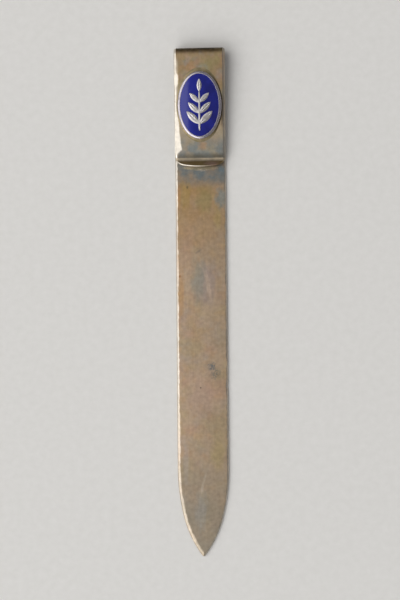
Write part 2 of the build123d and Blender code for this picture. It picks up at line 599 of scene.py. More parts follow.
    def relief(self, coat: Coat, grain: Socket, dents: Sequence[tuple[float, Socket]]) -> Socket:
        """Height of the lengthwise grain and of the dents in it.

        Args:
            coat: Material in the making.
            grain: Socket of the grain.
            dents: Depth and cover of each dent.

        Returns:
            The socket of the height.
        """
        inputs = {0: grain, 1: self.grain_relief}
        height = add_node(coat.tree, "ShaderNodeMath", inputs, operation="MULTIPLY").outputs[0]
        for depth, cover in dents:
            inputs = {0: cover, 1: -depth, 2: height}
            height = add_node(coat.tree, "ShaderNodeMath", inputs, operation="MULTIPLY_ADD").outputs[0]
        return height


@dataclass(frozen=True)
class SilverFinish(Finish):
    """White metal, stamped and polished: cool and bright, with fine rubbing marks and a little tarnish."""

    bright: str = "#CFCBC9"
    tarnished: str = "#968D8A"
    patch: float = 1.6
    stain_levels: Span = (0.5, 0.75)
    stain_strength: float = 0.7
    roughness: Span = (0.2, 0.36)
    # The marks of rubbing, coarser than real ones so that they show in the render
    scratch_width: float = 0.12
    scratch_length: float = 2.5
    scratch_turn: float = 35.0
    scratch_depth: float = 0.008
    scratch_strength: float = 0.4

    def build(self) -> bpy.types.Material:
        """Makes the material.

        Returns:
            The new material.
        """
        coat = Coat(self.name)
        stain = coat.blotches(self.patch, Border.TATTERED, self.stain_levels, (0.0, self.stain_strength))
        rough = coat.blotches(self.patch, Border.TATTERED, NOISE_SPAN, self.roughness)
        colour = lay_colours(coat.tree, self.bright, [(self.tarnished, stain)])
        coat.give({"Base Color": colour, "Metallic": 1.0, "Roughness": rough})
        scratches = coat.streaks(self.scratch_width, self.scratch_length, Border.EVEN, self.scratch_turn)
        coat.emboss(scratches, self.scratch_depth, self.scratch_strength)
        return coat.material


@dataclass(frozen=True)
class EnamelFinish(Finish):
    """Glass enamel, fused in the plate: deep cobalt, lightened to the left by painted highlight, under a
    glossy uneven surface.
    """

    deep: str = "#10145A"
    clear: str = "#1C2280"
    painted_lit_side: str = "#1C248C"
    painted_lit_places: Span = (4.0, -6.0)
    cloud: float = 3.2
    roughness: float = 0.09
    ior: float = 1.52
    ripple: float = 1.4
    ripple_depth: float = 0.012
    ripple_strength: float = 0.5

    def build(self) -> bpy.types.Material:
        """Makes the material.

        Returns:
            The new material.
        """
        coat = Coat(self.name)
        cloud = coat.blotches(self.cloud, Border.RAGGED, NOISE_SPAN)
        # Painted highlight: lighter towards the left
        left = coat.cover_along(Axis.ACROSS, self.painted_lit_places)
        colour = lay_colours(coat.tree, self.deep, [(self.clear, cloud), (self.painted_lit_side, left)])
        coat.give({"Base Color": colour, "Roughness": self.roughness, "IOR": self.ior})
        coat.emboss(coat.blotches(self.ripple, Border.SOFT), self.ripple_depth, self.ripple_strength)
        return coat.material


@dataclass(frozen=True)
class SolderFinish(Finish):
    """Flowed solder under worn gilding: dull, lumpy, green in its hollows, and darkened along its right side
    by painted shadow.
    """

    gilded: str = "#9E8E70"
    hollow: str = "#82785C"
    painted_shadow: str = "#463E32"
    painted_shadow_places: Span = (3.6, 6.2)
    lump: float = 1.6
    hollow_levels: Span = (0.65, 0.35)
    roughness: float = 0.45
    lump_depth: float = 0.03
    lump_strength: float = 0.6

    def build(self) -> bpy.types.Material:
        """Makes the material.

        Returns:
            The new material.
        """
        coat = Coat(self.name)
        hollow = coat.blotches(self.lump, Border.RAGGED, self.hollow_levels)
        # Painted shadow: darker towards the right side
        right = coat.cover_along(Axis.ACROSS, self.painted_shadow_places)
        colour = lay_colours(coat.tree, self.gilded, [(self.hollow, hollow), (self.painted_shadow, right)])
        coat.give({"Base Color": colour, "Metallic": 1.0, "Roughness": self.roughness})
        coat.emboss(coat.blotches(self.lump, Border.RAGGED), self.lump_depth, self.lump_strength)
        return coat.material


@dataclass(frozen=True)
class PaperFinish(Finish):
    """Pale matt paper: faint fibres, no gloss."""

    pale: str = "#E9E7E3"
    fibre: str = "#DEDCD7"
    fibre_size: float = 2.0
    roughness: float = 0.95
    specular: float = 0.1

    def build(self) -> bpy.types.Material:
        """Makes the material.

        Returns:
            The new material.
        """
        coat = Coat(self.name)
        fibres = coat.blotches(self.fibre_size, Border.FIBROUS)
        colour = lay_colours(coat.tree, self.pale, [(self.fibre, fibres)])
        coat.give({"Base Color": colour, "Roughness": self.roughness, "Specular IOR Level": self.specular})
        return coat.material


@dataclass(frozen=True)
class Station:
    """Place on the left border of a flat blank, with the direction inwards from it."""

    x: float
    along: float
    inward_x: float
    inward_along: float


@dataclass(frozen=True)
class EdgeProfile:
    """Eased edge of the strip: a bevel on each face and a narrow land, with softened corners."""

    thickness: float
    bevel_width: float = 0.55
    land: float = 0.3
    flat_run: float = 0.3
    softenings: int = 2
    cuts: Span = (0.25, 0.75)

    def points(self) -> list[Span]:
        """Works out the section by cutting its corners off a few times.

        Returns:
            Distances inwards from the border and heights, from the upper face round to the lower one.
        """
        half = self.thickness / 2
        upper = [(self.bevel_width + self.flat_run, half), (self.bevel_width, half), (0.0, self.land / 2)]
        corners = upper + [(inset, -height) for inset, height in reversed(upper)]
        for _ in range(self.softenings):
            softer = [corners[0]]
            for (inset, height), (next_inset, next_height) in zip(corners, corners[1:]):
                for cut in self.cuts:
                    softer.append((inset + cut * (next_inset - inset), height + cut * (next_height - height)))
            softer.append(corners[-1])
            corners = softer
        return corners


class Blank:
    """Strip with eased borders, made row by row from a square end to a point on its middle line."""

    thickness: float

    def stations(self) -> list[Station]:
        """Places on the left border, from the square end to the middle line."""
        raise NotImplementedError

    def columns(self) -> list[float]:
        """Shares of the width, from left to right, between the two borders."""
        raise NotImplementedError

    def border(self, side: Side, along: float) -> Span:
        """How far the border is set in at a place, and how much its bevel is spread."""
        raise NotImplementedError

    def rub(self, x: float, along: float) -> float:
        """How far the eased edge is rubbed bright at a place."""
        raise NotImplementedError

    def surface(self, x: float, along: float, height: float, wear: float) -> tuple[Vector, float]:
        """Place in the frame of a point of the flat blank, and how far it is rubbed bright."""
        raise NotImplementedError

    def build(self, name: str, material: bpy.types.Material) -> bpy.types.Object:
        """Makes the strip as one closed piece.

        Args:
            name: Name of the piece.
            material: Material that reads the attribute of wear.

        Returns:
            The new object.
        """
        shape = bmesh.new()
        layer = shape.verts.layers.float.new("wear")
        rings = []
        for station in self.stations():
            ring = []
            for spot in self.row(station):
                position, rubbed = self.surface(*spot)
                vertex = shape.verts.new(position)
                vertex[layer] = rubbed
                ring.append(vertex)
            rings.append(ring)
        join_rings(shape, rings)
        shape.faces.new(rings[0])
        return finish_mesh(name, shape, material)

    def row(self, station: Station) -> list[Spot]:
        """Closed section of the flat blank.

        Args:
            station: Place of the section on the left border.

        Returns:
            Place across, place along, height and wear of each point.
        """
        profile = EdgeProfile(self.thickness).points()
        face_height = profile[0][1]
        sides = {}
        for side in Side:
            inset, spread = self.border(side, station.along)
            sides[side] = []
            for depth, height in profile:
                reach = inset + depth * spread
                x = -side.value * min(station.x + reach * station.inward_x, 0.0)
                along = station.along + reach * station.inward_along
                wear = self.rub(x, along) if abs(height) < face_height else 0.0
                sides[side].append((x, along, height, wear))
        left, right = sides[Side.LEFT], sides[Side.RIGHT]
        lower = self.across(left[-1], right[-1])
        upper = self.across(left[0], right[0])
        return left + lower + right[::-1] + upper[::-1]

    def across(self, start: Spot, end: Spot) -> list[Spot]:
        """Points of a flat face between its two borders."""
        pairs = list(zip(start, end))
        return [tuple(near + share * (far - near) for near, far in pairs) for share in self.columns()]


@dataclass
class Blade(Blank):
    """Flat blade: a strip that widens a little towards its rounded spear point."""

    tip_y: float
    end_y: float
    shoulder_width: float
    end_width: float
    thickness: float
    shoulder_radius: float = 59.0
    shoulder_turn: float = 13.7
    point_radius: float = 33.0
    nose_radius: float = 0.55
    row_step: float = 0.5
    shoulder_rows: int = 28
    point_rows: int = 44
    nose_rows: int = 10
    column_count: int = 22
    calm_length: float = 3.0
    edge_swell: float = 0.04
    edge_swell_length: float = 9.0
    edge_proud: float = 0.02
    bevel_swell: float = 0.2
    bevel_swell_length: float = 3.5
    file_marks: float = 0.3
    file_pitch: float = 0.8
    nick_y: float = -24.6
    nick_depth: float = 0.16
    nick_length: float = 0.5
    right_bevel: float = 0.6
    right_rub: float = 0.7
    least_rub: float = 0.55
    dull_y: float = 12.0
    dull_reach: float = 26.0
    point_start_y: float = -10.0
    point_spread: float = 0.6
    point_rub: float = 0.05

    def stations(self) -> list[Station]:
        """Lays out the straight border, the shoulder's arc, the tighter arc of the point and the nose.

        Returns:
            Places on the left border, from the square end to the tip.
        """
        half = self.shoulder_width / 2
        shoulder_turn = math.radians(self.shoulder_turn)
        step = self.shoulder_radius - self.point_radius
        drop = step * math.sin(shoulder_turn)
        offset = self.shoulder_radius - half - step * math.cos(shoulder_turn)
        nose_reach = self.point_radius - self.nose_radius
        nose_turn = math.acos(offset / nose_reach)
        nose_y = self.tip_y + self.nose_radius
        shoulder_y = nose_y + nose_reach * math.sin(nose_turn) + drop
        rows = math.ceil((self.end_y - shoulder_y) / self.row_step)
        places = []
        for i in range(rows):
            share = i / rows
            x = -(self.end_width + share * (self.shoulder_width - self.end_width)) / 2
            places.append(Station(x, self.end_y + share * (shoulder_y - self.end_y), 1.0, 0.0))
        shoulder_x = self.shoulder_radius - half
        arcs = (
            (shoulder_x, shoulder_y, self.shoulder_radius, 0.0, shoulder_turn, self.shoulder_rows),
            (offset, shoulder_y - drop, self.point_radius, shoulder_turn, nose_turn, self.point_rows),
            (0.0, nose_y, self.nose_radius, nose_turn, math.pi / 2, self.nose_rows),
        )
        for centre_x, centre_y, radius, first, last, count in arcs:
            for i in range(count):
                turn = first + (last - first) * i / count
                x = centre_x - radius * math.cos(turn)
                y = centre_y - radius * math.sin(turn)
                places.append(Station(x, y, math.cos(turn), math.sin(turn)))
        places.append(Station(0.0, self.tip_y, 0.0, 1.0))
        return places

    def columns(self) -> list[float]:
        """Even shares of the width."""
        return [i / self.column_count for i in range(1, self.column_count)]

    def border(self, side: Side, along: float) -> Span:
        """Border with the unevenness of filing, a nick on the right and a wider bevel left of the point.

        Args:
            side: Border that is asked for.
            along: Place along the blade.

        Returns:
            How far the border is set in, and how much its bevel is spread.
        """
        calm = hold((self.end_y - along) / self.calm_length) * hold((along - self.tip_y) / self.calm_length)
        inset = calm * self.edge_swell * waver(along, self.edge_swell_length, Line.BLADE_EDGE, side.value)
        swell = self.bevel_swell * waver(along, self.bevel_swell_length, Line.BLADE_BEVEL, side.value)
        swell += self.file_marks * waver(along, self.file_pitch, Line.FILE_MARKS, side.value)
        if side is Side.LEFT:
            spread = 1.0 + self.point_spread * self.near_point(along)
        else:
            spread = self.right_bevel
            inset += self.nick_depth * self.nick(along)
        return max(inset, -self.edge_proud), spread + calm * swell

    def near_point(self, along: float) -> float:
        """How near a place is to the tip: 0 on the upper blade, 1 at the tip."""
        return max(0.0, (self.point_start_y - along) / (self.point_start_y - self.tip_y))

    def nick(self, along: float) -> float:
        """Depth of the nick at a place, as a share of its whole depth."""
        return math.exp(-(((along - self.nick_y) / self.nick_length) ** 2))

    def rub(self, x: float, along: float) -> float:
        """Rubbing of the left edge, least at its upper middle and its tip, and of the right one.

        Args:
            x: Place across the blade.
            along: Place along the blade.

        Returns:
            How far the edge is rubbed bright, from 0 to 1.
        """
        if x >= 0:
            return max(self.right_rub, self.nick(along))
        worn = hold(abs(along - self.dull_y) / self.dull_reach)
        left = self.least_rub + (1 - self.least_rub) * worn
        return left + (self.point_rub - 1) * self.near_point(along)

    def surface(self, x: float, along: float, height: float, wear: float) -> tuple[Vector, float]:
        """The blade stays flat, with its back on z = 0."""
        return Vector((x, along, self.thickness / 2 + height)), wear


@dataclass(frozen=True)
class Stretch:
    """Part of a bent line: its length, and how far it turns to the left, in radians."""

    length: float
    turn: float = 0.0


class BentLine:
    """Line in the YZ plane, made of straight runs and arcs that follow each other smoothly."""

    def __init__(self, y: float, z: float, stretches: Sequence[Stretch]) -> None:
        """Lays the stretches end to end.

        Args:
            y: Start along Y, from where the line sets out along +Y.
            z: Height of the start.
            stretches: Runs and arcs in order.
        """
        self.stretches = list(stretches)
        self.starts = []
        along, heading = 0.0, 0.0
        for stretch in self.stretches:
            self.starts.append((along, y, z, heading))
            y, z, heading = self.walk(y, z, heading, stretch, stretch.length)
            along += stretch.length
        self.length = along

    def walk(
        self, y: float, z: float, heading: float, stretch: Stretch, distance: float
    ) -> tuple[float, float, float]:
        """Goes along a stretch.

        Args:
            y: Start of the stretch along Y.
            z: Height of its start.
            heading: Heading at its start, in radians.
            stretch: Run or arc to go along.
            distance: How far to go.

        Returns:
            Place along Y, height and heading.
        """
        if stretch.turn == 0.0:
            return y + distance * math.cos(heading), z + distance * math.sin(heading), heading
        radius = stretch.length / stretch.turn
        after = heading + distance / radius
        y += radius * (math.sin(after) - math.sin(heading))
        z -= radius * (math.cos(after) - math.cos(heading))
        return y, z, after

    def place(self, along: float) -> tuple[float, float, float]:
        """Finds a place on the line.

        Args:
            along: Distance from the start.

        Returns:
            Place along Y, height and heading.
        """
        number = max(i for i, start in enumerate(self.starts) if start[0] <= along or i == 0)
        start, y, z, heading = self.starts[number]
        return self.walk(y, z, heading, self.stretches[number], along - start)


@dataclass
class Clip(Blank):
    """Spring clip: the end of the strip, folded over into a sloping tongue with a turned-up lip."""

    start_y: float
    fold_y: float
    fold_z: float
    width: float
    thickness: float
    lip_y: float
    reach: float = 32.6
    lip_gap: float = 0.12
    dip_angle: float = 21.0
    dip_length: float = 1.4
    dip_bend_radius: float = 5.5
    valley_radius: float = 1.45
    lip_angle: float = 32.0
    lip_bulge: float = 1.17
    corner_radius: float = 3.2
    row_step: float = 0.3
    corner_rows: int = 12
    lip_rows: int = 30
    margin_step: float = 0.16
    margin_width: float = 2.6
    middle_columns: int = 18
    calm_length: float = 3.0
    edge_swell: float = 0.03
    edge_swell_length: float = 8.0
    edge_proud: float = 0.02
    bevel_swell: float = 0.15
    bevel_swell_length: float = 3.0
    lip_bevel: float = 0.55
    lip_fade: float = 1.0
    lip_middle_rub_and_highlight: float = 0.7
    lip_rub_and_highlight_width: float = 6.0
    valley_reach: float = 0.9
    right_rub: float = 0.45
    flat_width: float = 2.05
    flat_length: float = 22.5
    flat_angle: float = 11.0
    flat_fade: float = 2.1
    flat_rub: float = 4.0
    flat_waver: float = 0.16
    flat_waver_length: float = 1.3
    flat_teeth: float = 0.08
    flat_teeth_length: float = 0.5
    shoulder_width: float = 1.4
    shoulder_angle: float = 15.0
    shoulder_fade: float = 2.0
    scoop_y: float = 65.3
    scoop_length: float = 3.8
    scoop_width: float = 1.35
    bend_rise: float = 3.0
    bend_lean: float = 0.1
    badge_drop: float = 0.8

    def __post_init__(self) -> None:
        """Works out the bent middle line from the fold to the lip."""
        dip, lip = math.radians(self.dip_angle), math.radians(self.lip_angle)
        fold_radius = self.fold_z - self.thickness / 2
        valley_y = self.fold_y + self.fold_z - self.reach
        valley_z = self.thickness + self.lip_gap + self.thickness / 2
        corner_y = valley_y + self.valley_radius * math.sin(dip) + self.dip_length * math.cos(dip)
        corner_z = valley_z + self.valley_radius * (1 - math.cos(dip)) + self.dip_length * math.sin(dip)
        run, rise = self.fold_y - corner_y, self.fold_z - corner_z
        self.slope = math.atan2(rise, run) + math.asin(fold_radius / math.hypot(run, rise))
        self.tongue_start_y = self.fold_y - fold_radius * math.sin(self.slope)
        self.tongue_start_z = self.fold_z + fold_radius * math.cos(self.slope)
        tangent = self.dip_bend_radius * math.tan((dip - self.slope) / 2)
        self.tongue_end_y = corner_y + tangent * math.cos(self.slope)
        tongue = math.hypot(self.tongue_start_y - corner_y, self.tongue_start_z - corner_z) - tangent
        valley = self.valley_radius * (dip + lip)
        valley_end_y = valley_y - self.valley_radius * math.sin(lip)
        lip_reach = valley_end_y - self.lip_y + self.thickness / 2 * math.sin(lip)
        stretches = [
            Stretch(self.fold_y - self.start_y),
            Stretch(fold_radius * (math.pi + self.slope), math.pi + self.slope),
            Stretch(tongue),
            Stretch(self.dip_bend_radius * (dip - self.slope), dip - self.slope),
            Stretch(self.dip_length - tangent),
            Stretch(valley, -dip - lip),
            Stretch(lip_reach / math.cos(lip)),
        ]
        self.line = BentLine(self.start_y, self.thickness / 2, stretches)
        self.lip_along = self.line.starts[-1][0]
        self.valley_along = self.lip_along - valley / 2
        self.badge_y = (self.tongue_start_y + self.tongue_end_y) / 2 - self.badge_drop
        self.bend_start = Vector((0, self.fold_y, self.thickness))
        self.bend_end = self.bend_start + Vector((0, -self.bend_lean * self.bend_rise, self.bend_rise))

    def stations(self) -> list[Station]:
        """Lays out the straight border round the fold and down the tongue, the corner and the lip's arc.

        Returns:
            Places on the left border, from the square end to the middle of the lip.
        """
        half = self.width / 2
        end = self.line.length
        radius = (half**2 + self.lip_bulge**2) / (2 * self.lip_bulge)
        inner = radius - self.corner_radius
        corner_turn = math.asin((half - self.corner_radius) / inner)
        corner_along = end - radius + inner * math.cos(corner_turn)
        rows = math.ceil(corner_along / self.row_step)
        places = [Station(-half, corner_along * i / rows, 1.0, 0.0) for i in range(rows)]
        for i in range(self.corner_rows):
            turn = (math.pi / 2 - corner_turn) * i / self.corner_rows
            x = self.corner_radius * (1 - math.cos(turn)) - half
            along = corner_along + self.corner_radius * math.sin(turn)
            places.append(Station(x, along, math.cos(turn), -math.sin(turn)))
        for i in range(self.lip_rows + 1):
            turn = corner_turn * (1 - i / self.lip_rows)
            x = -radius * math.sin(turn)
            along = end - radius * (1 - math.cos(turn))
            places.append(Station(x, along, math.sin(turn), -math.cos(turn)))
        return places

    def columns(self) -> list[float]:
        """Spaces the columns, closer beside the left border, where the flat is filed.

        Returns:
            Shares of the width, from left to right.
        """
        count = round(self.margin_width / self.margin_step)
        margin = [i * self.margin_step / self.width for i in range(1, count + 1)]
        rest = 1 - margin[-1]
        return margin + [margin[-1] + rest * i / self.middle_columns for i in range(1, self.middle_columns)]

    def border(self, side: Side, along: float) -> Span:
        """Border with the unevenness of filing, but none at the fold's end, where the blade goes on.

        Args:
            side: Border that is asked for.
            along: Place along the middle line.

        Returns:
            How far the border is set in, and how much its bevel is spread.
        """
        calm = hold(along / self.calm_length)
        inset = calm * self.edge_swell * waver(along, self.edge_swell_length, Line.CLIP_EDGE, side.value)
        swell = self.bevel_swell * waver(along, self.bevel_swell_length, Line.CLIP_BEVEL, side.value)
        lip = 1 + self.lip_share(along) * (self.lip_bevel - 1)
        return max(inset, -self.edge_proud), lip * (1.0 + calm * swell)

    def lip_share(self, along: float) -> float:
        """How far a place is on the lip: 0 above the valley's end, 1 on the lip."""
        return hold((along - self.lip_along) / self.lip_fade + 1)

    def rub(self, x: float, along: float) -> float:
        """Rubbing of the left edge and of the right edge, and on the lip rubbing with a painted highlight
        that is brightest on its left half and fades to the right, all but for the valley.

        Args:
            x: Place across the clip.
            along: Place along the middle line.

        Returns:
            How far the edge is rubbed bright, on the lip with a painted highlight, from 0 to 1.
        """
        side = 1.0 if x < 0 else self.right_rub
        # On the lip, wear plus painted highlight: lighter on the left half, fading to the right
        middle = hold(self.lip_middle_rub_and_highlight - x / self.lip_rub_and_highlight_width)
        lip = self.lip_share(along)
        away = hold(abs(along - self.valley_along) / self.valley_reach)
        return away**2 * ((1 - lip) * side + lip * middle)

    def surface(self, x: float, along: float, height: float, wear: float) -> tuple[Vector, float]:
        """Bends the blank, trims the end of the lip upright and cuts down the left margin of the tongue.

        Args:
            x: Place across the blank.
            along: Place along its middle line.
            height: Height from its middle.
            wear: How far the point is rubbed bright.

        Returns:
            Place in the frame, and how far it is rubbed bright.
        """
        front = self.thickness / 2
        trim = (height + front) * math.tan(math.radians(self.lip_angle))
        y, z, heading = self.line.place(along - self.lip_share(along) * trim)
        if heading >= math.pi:
            cut, rubbed = self.margin_cut(x, y + front * math.sin(heading))
            if height < cut - front:
                height = cut - front
                wear = max(wear, rubbed)
        return Vector((x, y - height * math.sin(heading), z + height * math.cos(heading))), wear

    def margin_cut(self, x: float, y: float) -> Span:
        """How the left margin of the tongue's front is cut down by filing and by wear.

        Args:
            x: Place across the tongue.
            y: Place along Y.

        Returns:
            Depth of the cut, and how far it is rubbed bright.
        """
        inside = x + self.width / 2
        filed = max(0.0, self.filed_width(y) - inside)
        upper_end = (self.tongue_start_y - y) / self.shoulder_fade
        lower_end = 1 + (y - self.tongue_end_y) / self.flat_fade
        rounded = max(0.0, 1 - inside / self.shoulder_width)
        curve = self.shoulder_width / 2 * math.tan(math.radians(self.shoulder_angle))
        shoulder = hold(min(upper_end, lower_end)) * rounded
        cut = max(filed * math.tan(math.radians(self.flat_angle)), curve * shoulder * rounded)
        return cut, min(1.0, max(self.flat_rub * filed, shoulder))

    def filed_width(self, y: float) -> float:
        """Width of the filed margin, which grows towards the dip.

        Args:
            y: Place along Y.

        Returns:
            The width there, with its waver and the teeth of the file.
        """
        above = y - self.tongue_end_y
        share = 1 - above / self.flat_length if above > 0 else 1 + above / self.flat_fade
        scoop = 1 - ((y - self.scoop_y) / self.scoop_length) ** 2
        width = max(0.0, self.flat_width * share, self.scoop_width * scoop)
        uneven = self.flat_waver * waver(y, self.flat_waver_length, Line.FILED_MARGIN)
        uneven += self.flat_teeth * waver(y, self.flat_teeth_length, Line.FILED_TEETH)
        return width * (1 + uneven)

    def front_plane(self, y: float) -> Matrix:
        """Plane on the tongue's front face.

        Args:
            y: Place along Y.

        Returns:
            The plane, with its Y up the tongue and its Z outwards.
        """
        middle_z = self.tongue_start_z - (self.tongue_start_y - y) * math.tan(self.slope)
        front_z = middle_z + self.thickness / 2 / math.cos(self.slope)
        return Matrix.Translation((0, y, front_z)) @ Matrix.Rotation(self.slope, 4, "X")


@dataclass
class Sprig:
    """Metal sprig: leaves in pairs up a stem and one on its top, laid on the swell of the enamel."""

    plane: Matrix
    half_width: float
    half_height: float
    edge_height: float
    swell: float
    end_margin: float = 1.45
    side_margin: float = 1.9
    relief_rows: int = 36
    relief_columns: int = 8
    keel: float = 0.15
    lift: float = 0.03
    first_leaf: float = 2.0
    top_leaf_length: float = 3.9
    leaf_pairs: int = 3
    leaf_shrink: float = 0.87
    leaf_gap: float = 0.3
    leaf_angle: float = 45.0
    leaf_rise: float = 0.07
    rib_depth: float = 0.055
    rib_width: float = 0.16
    rib_fade: float = 5.0
    vein_depth: float = 0.03
    vein_count: float = 5.0
    vein_slant: float = 1.1
    vein_sharpness: int = 6
    stem_width: float = 0.6
    stem_taper: float = 0.35
    stem_squareness: int = 10
    stem_rise: float = 0.1

    def __post_init__(self) -> None:
        """Works out the places and sizes of the leaves from the enamel's."""
        self.top = self.half_height - self.end_margin
        turn = math.sin(math.radians(self.leaf_angle))
        self.leaf_pitch = (2 * self.top - self.top_leaf_length - self.first_leaf) / self.leaf_pairs
        self.leaf_length = (self.half_width - self.side_margin) / turn
        self.leaf_half_width = (self.leaf_pitch * turn - self.leaf_gap) / 2

    def relief(
        self,
        name: str,
        length: float,
        half_width: Callable[[float], float],
        crest: Callable[[float, float], float],
    ) -> bpy.types.Object:
        """Raised shape that grows along +Y from the origin, with a keel that stands in the enamel.

        Args:
            name: Name of the object.
            length: Length of the shape.
            half_width: Half width at a share of the length.
            crest: Height above the enamel at a share of the length and a share of the half width.

        Returns:
            The new object.
        """
        shares = [i / self.relief_columns for i in range(-self.relief_columns, self.relief_columns + 1)]
        shape = bmesh.new()
        rings = []
        for i in range(self.relief_rows + 1):
            along = i / self.relief_rows
            half = half_width(along)
            upper = [Vector((out * half, along * length, crest(along, out))) for out in shares]
            lower = [Vector((out * half, along * length, -self.keel)) for out in reversed(shares)]
            rings.append([shape.verts.new(spot) for spot in upper + lower])
        join_rings(shape, rings)
        return finish_mesh(name, shape, None)

    def leaf_crest(self, along: float, out: float) -> float:
        """Height of a leaf with a sunk midrib and sunk veins.

        Args:
            along: Share of the leaf's length.
            out: Share of its half width, from -1 to 1.

        Returns:
            Height above the enamel.
        """
        inside = 1 - out**2
        rib = self.rib_depth * math.exp(-((out / self.rib_width) ** 2))
        rib *= min(1.0, self.rib_fade * (1 - along))
        wave = math.cos(2 * math.pi * (self.vein_count * along - self.vein_slant * abs(out)))
        vein = self.vein_depth * max(0.0, wave) ** self.vein_sharpness
        return self.lift + self.leaf_rise * inside - rib - vein * inside

    def leaf_outline(self, along: float) -> float:
        """Half width of a leaf at a share of its length: a parabola that is pointed at both ends."""
        return self.leaf_half_width * (1 - (2 * along - 1) ** 2)

    def build_leaf(self) -> bpy.types.Object:
        """Makes one leaf, with its foot at the origin."""
        return self.relief("leaf", self.leaf_length, self.leaf_outline, self.leaf_crest)

    def stem_crest(self, along: float, out: float) -> float:
        """Height of the rounded stem, which is the same all along it."""
        return self.lift + self.stem_rise * (1 - out**2)

    def stem_outline(self, along: float) -> float:
        """Half width of the stem at a share of its length: a taper with rounded ends."""
        ends = (1 - (2 * along - 1) ** self.stem_squareness) ** 0.5
        return self.stem_width / 2 * (1 - self.stem_taper * along) * ends

    def build_stem(self) -> bpy.types.Object:
        """Makes the rounded stem, which tapers upwards into the top leaf.

        Returns:
            The new object, which becomes the whole sprig.
        """
        length = 2 * self.top - self.top_leaf_length + self.stem_width
        stem = self.relief("badge_sprig", length, self.stem_outline, self.stem_crest)
        stem.data.transform(Matrix.Translation((0, -self.top * MM, 0)))
        return stem

    def tree(self) -> bpy.types.NodeTree:
        """Makes the nodes that set leaves up a stem, lay them on the enamel and put them on the badge.

        Returns:
            The node tree, with a named input for each size.
        """
        tree = bpy.data.node_groups.new("sprig", "GeometryNodeTree")
        kinds = {"Stem": "Geometry", "Leaf": "Object", "Pairs": "Int", "Material": "Material"}
        kinds |= dict.fromkeys(("Half Axes", "Badge Place"), "Vector")
        kinds |= dict.fromkeys(("First Leaf", "Pitch", "Leaf Angle", "Shrink"), "Float")
        kinds |= dict.fromkeys(("Top Leaf", "Top Scale", "Edge Height", "Swell", "Tilt"), "Float")
        for name, kind in kinds.items():
            tree.interface.new_socket(name, in_out="INPUT", socket_type=f"NodeSocket{kind}")
        tree.interface.new_socket("Sprig", in_out="OUTPUT", socket_type="NodeSocketGeometry")
        given = add_node(tree, "NodeGroupInput").outputs

        # Leaves in pairs up the stem, and one on its top
        first = add_node(tree, "ShaderNodeCombineXYZ", {"Y": given["First Leaf"]}).outputs[0]
        step = add_node(tree, "ShaderNodeCombineXYZ", {"Y": given["Pitch"]}).outputs[0]
        inputs = {"Count": given["Pairs"], "Start Location": first, "Offset": step}
        feet = add_node(tree, "GeometryNodeMeshLine", inputs).outputs["Mesh"]
        inputs = {"Object": given["Leaf"], "As Instance": True}
        leaf = add_node(tree, "GeometryNodeObjectInfo", inputs).outputs["Geometry"]
        index = add_node(tree, "GeometryNodeInputIndex").outputs[0]
        size = add_node(tree, "ShaderNodeMath", {0: given["Shrink"], 1: index}, operation="POWER").outputs[0]
        joined = add_node(tree, "GeometryNodeJoinGeometry", {0: given["Stem"]})
        for side in Side:
            inputs = {0: given["Leaf Angle"], 1: -side.value}
            turn = add_node(tree, "ShaderNodeMath", inputs, operation="MULTIPLY").outputs[0]
            turned = add_node(tree, "ShaderNodeCombineXYZ", {"Z": turn}).outputs[0]
            inputs = {"Points": feet, "Instance": leaf, "Rotation": turned, "Scale": size}
            leaves = add_node(tree, "GeometryNodeInstanceOnPoints", inputs).outputs[0]
            tree.links.new(leaves, joined.inputs[0])
        top_place = add_node(tree, "ShaderNodeCombineXYZ", {"Y": given["Top Leaf"]}).outputs[0]
        inputs = {"Geometry": leaf, "Translation": top_place, "Scale": given["Top Scale"]}
        tree.links.new(add_node(tree, "GeometryNodeTransform", inputs).outputs[0], joined.inputs[0])
        solid = add_node(tree, "GeometryNodeRealizeInstances", {0: joined.outputs[0]}).outputs[0]

        # Lift to the enamel's swell, then the badge's place and tilt
        place = add_node(tree, "GeometryNodeInputPosition").outputs[0]
        inputs = {0: place, 1: given["Half Axes"]}
        share = add_node(tree, "ShaderNodeVectorMath", inputs, operation="DIVIDE").outputs[0]
        inputs = {0: share, 1: share}
        fall = add_node(tree, "ShaderNodeVectorMath", inputs, operation="DOT_PRODUCT").outputs["Value"]
        rise = add_node(tree, "ShaderNodeMath", {0: 1.0, 1: fall}, operation="SUBTRACT").outputs[0]
        inputs = {0: rise, 1: given["Swell"], 2: given["Edge Height"]}
        lift = add_node(tree, "ShaderNodeMath", inputs, operation="MULTIPLY_ADD").outputs[0]
        offset = add_node(tree, "ShaderNodeCombineXYZ", {"Z": lift}).outputs[0]
        laid = add_node(tree, "GeometryNodeSetPosition", {"Geometry": solid, "Offset": offset}).outputs[0]
        tilt = add_node(tree, "ShaderNodeCombineXYZ", {"X": given["Tilt"]}).outputs[0]
        inputs = {"Geometry": laid, "Translation": given["Badge Place"], "Rotation": tilt}
        put = add_node(tree, "GeometryNodeTransform", inputs).outputs[0]
        inputs = {"Geometry": put, "Material": given["Material"]}
        dressed = add_node(tree, "GeometryNodeSetMaterial", inputs).outputs[0]
        add_node(tree, "NodeGroupOutput", {"Sprig": dressed})
        return tree

    def build(self, material: bpy.types.Material) -> bpy.types.Object:
        """Makes the sprig, turned into a plain mesh.

        Args:
            material: Material of the whole sprig.

        Returns:
            The new object.
        """
        stem, leaf, tree = self.build_stem(), self.build_leaf(), self.tree()
